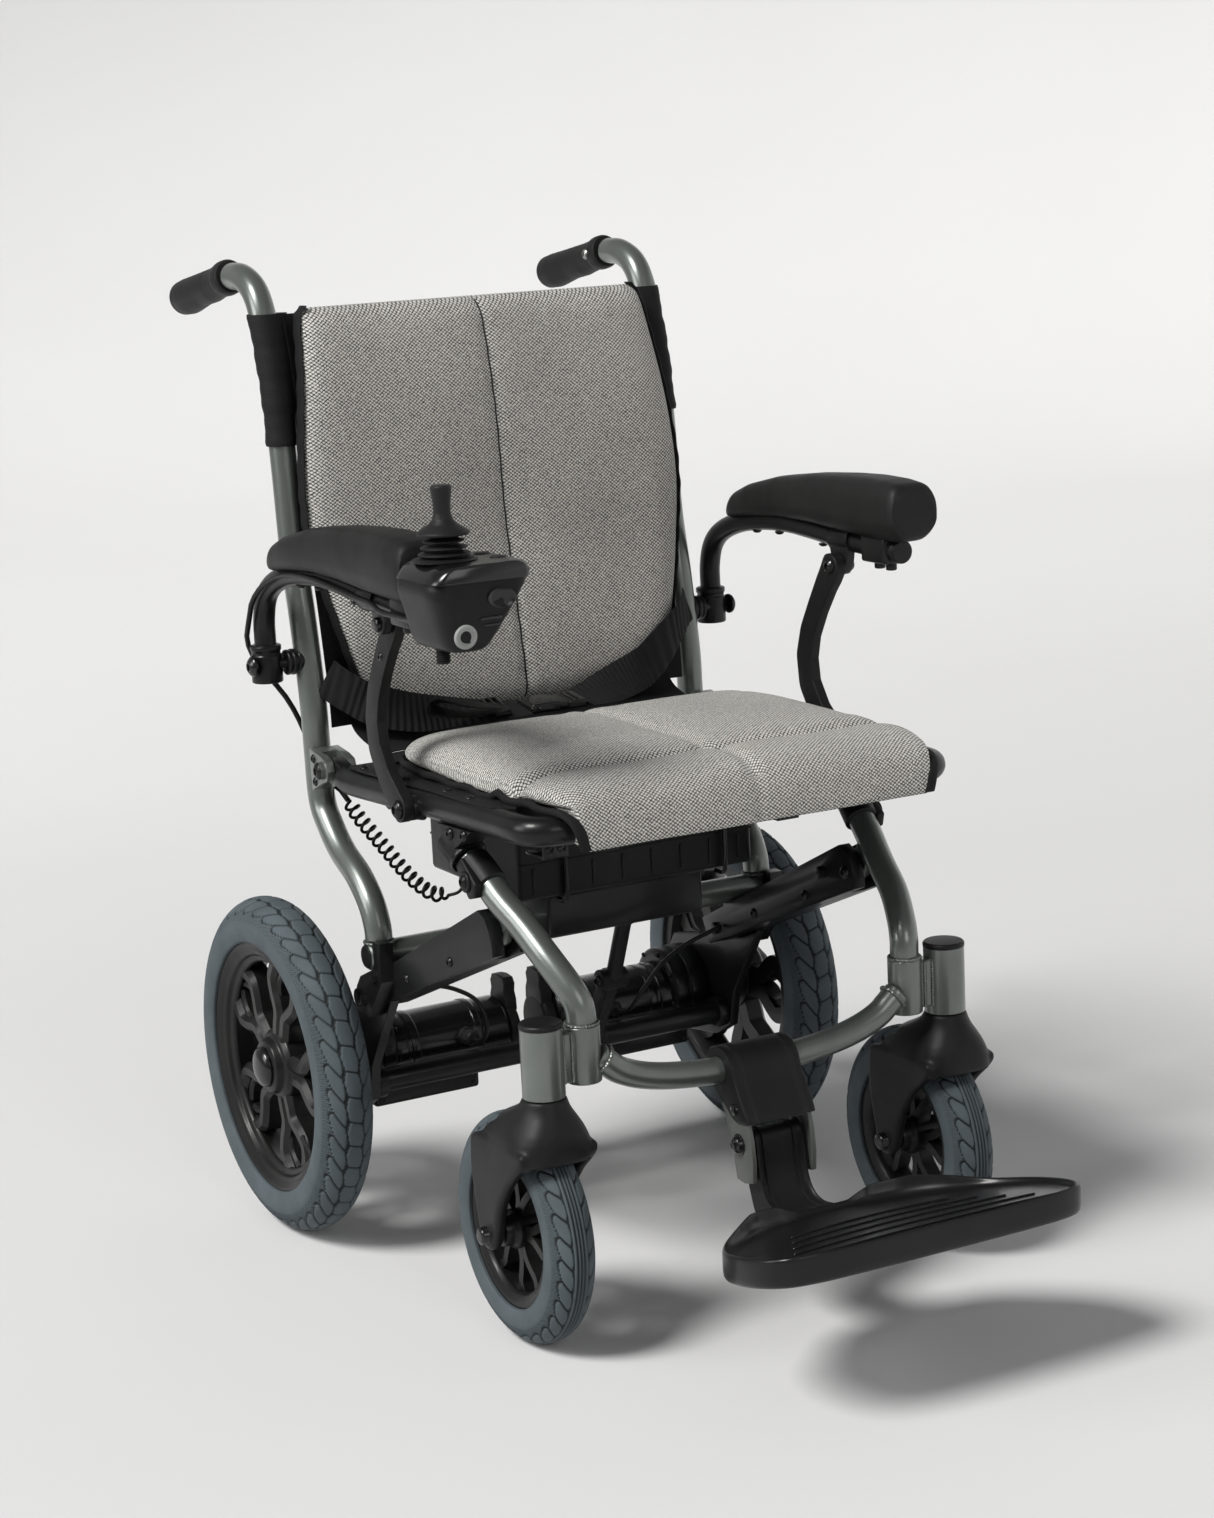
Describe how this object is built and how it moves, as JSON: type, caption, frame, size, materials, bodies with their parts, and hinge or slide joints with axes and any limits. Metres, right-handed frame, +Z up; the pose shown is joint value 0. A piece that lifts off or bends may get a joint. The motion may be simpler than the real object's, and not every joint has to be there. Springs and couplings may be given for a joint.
{
  "type": "folding power wheelchair",
  "caption": "Folding power wheelchair with a bent tube frame, rear hub-side motors, swivel casters, padded seat, flip-up footrest and joystick.",
  "frame": {"origin": "middle of the footprint box on the ground, under the seat", "axes": "+Z up, the occupant faces -Y, +X is the occupant's left"},
  "size_m": [0.56, 0.9543, 0.8941],
  "materials": {
    "frame_paint": "metallic olive-grey powder coat",
    "black_coat": "satin black powder coat",
    "cast_black": "matt black paint on castings",
    "plastic": "fine-textured black plastic",
    "rubber": "soft black rubber",
    "tyre": "slate-grey tyre rubber",
    "fabric": "light grey and black woven upholstery",
    "webbing": "black nylon",
    "steel": "zinc-plated steel"
  },
  "bodies": {
    "rear_chassis": {"rear_beam_left": "black_coat", "rear_beam_right": "black_coat", "motor_left": "black_coat", "motor_right": "black_coat", "motor_mount_left": "black_coat", "motor_mount_right": "black_coat", "axle_tube": "black_coat", "prop_strut": "black_coat"},
    "rear_wheel_left": {"rear_tyre_left": "tyre", "rear_rim_left": "cast_black"},
    "rear_wheel_right": {"rear_tyre_right": "tyre", "rear_rim_right": "cast_black"},
    "clutch_left": {"clutch_lever_left": "plastic"},
    "clutch_right": {"clutch_lever_right": "plastic"},
    "seat_frame": {"seat_tube_left": "black_coat", "seat_tube_right": "black_coat", "seat_cross_bars": "black_coat", "seat_cushion": "fabric", "battery_pack": "plastic", "battery_tray": "black_coat", "leg_tube_left": "frame_paint", "leg_tube_right": "frame_paint", "stem_tube_left": "frame_paint", "stem_tube_right": "frame_paint", "leg_ferrule_left": "cast_black", "leg_ferrule_right": "cast_black", "front_cross_tube": "frame_paint", "footrest_clamp": "cast_black", "coil_cable": "rubber", "seat_belt": "webbing"},
    "back_frame": {"back_tube_left": "frame_paint", "back_tube_right": "frame_paint", "rear_cross_tube": "frame_paint", "push_grip_left": "rubber", "push_grip_right": "rubber", "hinge_casting_left": "cast_black", "hinge_casting_right": "cast_black", "back_cushion": "fabric", "back_sling": "webbing"},
    "caster_fork_left": {"caster_fork_left": "cast_black"},
    "caster_fork_right": {"caster_fork_right": "cast_black"},
    "caster_wheel_left": {"caster_tyre_left": "tyre", "caster_rim_left": "cast_black"},
    "caster_wheel_right": {"caster_tyre_right": "tyre", "caster_rim_right": "cast_black"},
    "footrest": {"footrest_post": "cast_black", "footrest_plate": "plastic"},
    "armrest_left": {"arm_tube_left": "black_coat", "arm_pad_left": "rubber"},
    "armrest_right": {"arm_tube_right": "black_coat", "arm_pad_right": "rubber", "controller_body": "plastic", "controller_cable": "rubber"},
    "arm_link_left": {"arm_link_left": "cast_black"},
    "arm_link_right": {"arm_link_right": "cast_black"},
    "stick_gimbal": {"joystick_gimbal": "steel"},
    "joystick": {"joystick_knob": "rubber", "joystick_gaiter": "rubber"},
    "power_button": {"power_button": "rubber"},
    "horn_button": {"horn_button": "rubber"}
  },
  "joints": [
    {"name": "frame_fold", "type": "hinge", "parent": "rear_chassis", "child": "seat_frame", "pos_m": [0, -0.093, 0.338], "axis": [1, 0, 0], "range_deg": [0, 44]},
    {"name": "back_fold", "type": "hinge", "parent": "seat_frame", "child": "back_frame", "pos_m": [0, 0.1835, 0.439], "axis": [1, 0, 0], "range_deg": [0, 65], "deforming": ["coil_cable", "controller_cable", "seat_belt"]},
    {"name": "rear_wheel_spin_left", "type": "hinge", "parent": "rear_chassis", "child": "rear_wheel_left", "pos_m": [0.25, 0.2335, 0.1575], "axis": [1, 0, 0], "continuous": true},
    {"name": "clutch_release_left", "type": "hinge", "parent": "rear_chassis", "child": "clutch_left", "pos_m": [0.026, 0.2335, 0.1505], "axis": [1, 0, 0], "range_deg": [0, 60]},
    {"name": "caster_swivel_left", "type": "hinge", "parent": "seat_frame", "child": "caster_fork_left", "pos_m": [0.2, -0.1925, 0.224], "axis": [0, 0, 1], "continuous": true},
    {"name": "caster_spin_left", "type": "hinge", "parent": "caster_fork_left", "child": "caster_wheel_left", "pos_m": [0.2, -0.1455, 0.099], "axis": [1, 0, 0], "continuous": true},
    {"name": "armrest_fold_left", "type": "hinge", "parent": "back_frame", "child": "armrest_left", "pos_m": [0.2372, 0.2415, 0.533], "axis": [1, 0, 0], "range_deg": [-55, 0]},
    {"name": "arm_link_fold_left", "type": "hinge", "parent": "seat_frame", "child": "arm_link_left", "pos_m": [0.2213, -0.0015, 0.436], "axis": [1, 0, 0], "range_deg": [0, 55]},
    {"name": "rear_wheel_spin_right", "type": "hinge", "parent": "rear_chassis", "child": "rear_wheel_right", "pos_m": [-0.25, 0.2335, 0.1575], "axis": [1, 0, 0], "continuous": true},
    {"name": "clutch_release_right", "type": "hinge", "parent": "rear_chassis", "child": "clutch_right", "pos_m": [-0.026, 0.2335, 0.1505], "axis": [1, 0, 0], "range_deg": [0, 60]},
    {"name": "caster_swivel_right", "type": "hinge", "parent": "seat_frame", "child": "caster_fork_right", "pos_m": [-0.2, -0.1925, 0.224], "axis": [0, 0, 1], "continuous": true},
    {"name": "caster_spin_right", "type": "hinge", "parent": "caster_fork_right", "child": "caster_wheel_right", "pos_m": [-0.2, -0.1455, 0.099], "axis": [1, 0, 0], "continuous": true},
    {"name": "armrest_fold_right", "type": "hinge", "parent": "back_frame", "child": "armrest_right", "pos_m": [-0.2372, 0.2415, 0.533], "axis": [1, 0, 0], "range_deg": [-55, 0]},
    {"name": "arm_link_fold_right", "type": "hinge", "parent": "seat_frame", "child": "arm_link_right", "pos_m": [-0.2213, -0.0015, 0.436], "axis": [1, 0, 0], "range_deg": [0, 55]},
    {"name": "footrest_flip", "type": "hinge", "parent": "seat_frame", "child": "footrest", "pos_m": [0, -0.219, 0.156], "axis": [-1, 0, 0], "range_deg": [0, 82]},
    {"name": "stick_tilt_fore_aft", "type": "hinge", "parent": "armrest_right", "child": "stick_gimbal", "pos_m": [-0.2475, -0.163, 0.656], "axis": [1, 0, 0], "range_deg": [-18, 18], "stiffness_Nm_per_rad": 0.25, "deforming": ["joystick_gaiter"]},
    {"name": "stick_tilt_side", "type": "hinge", "parent": "stick_gimbal", "child": "joystick", "pos_m": [-0.2475, -0.163, 0.656], "axis": [0, 1, 0], "range_deg": [-18, 18], "stiffness_Nm_per_rad": 0.25, "deforming": ["joystick_gaiter"]},
    {"name": "power_button_press", "type": "slide", "parent": "armrest_right", "child": "power_button", "axis": [0, 0, -1], "range_m": [0, 0.001], "stiffness_N_per_m": 300},
    {"name": "horn_button_press", "type": "slide", "parent": "armrest_right", "child": "horn_button", "axis": [0, 0, -1], "range_m": [0, 0.001], "stiffness_N_per_m": 300}
  ],
  "couplings": [
    {"joint": "armrest_fold_left", "follows": "back_fold", "ratio": -0.772},
    {"joint": "arm_link_fold_left", "follows": "back_fold", "ratio": 0.775},
    {"joint": "armrest_fold_right", "follows": "back_fold", "ratio": -0.772},
    {"joint": "arm_link_fold_right", "follows": "back_fold", "ratio": 0.775}
  ]
}
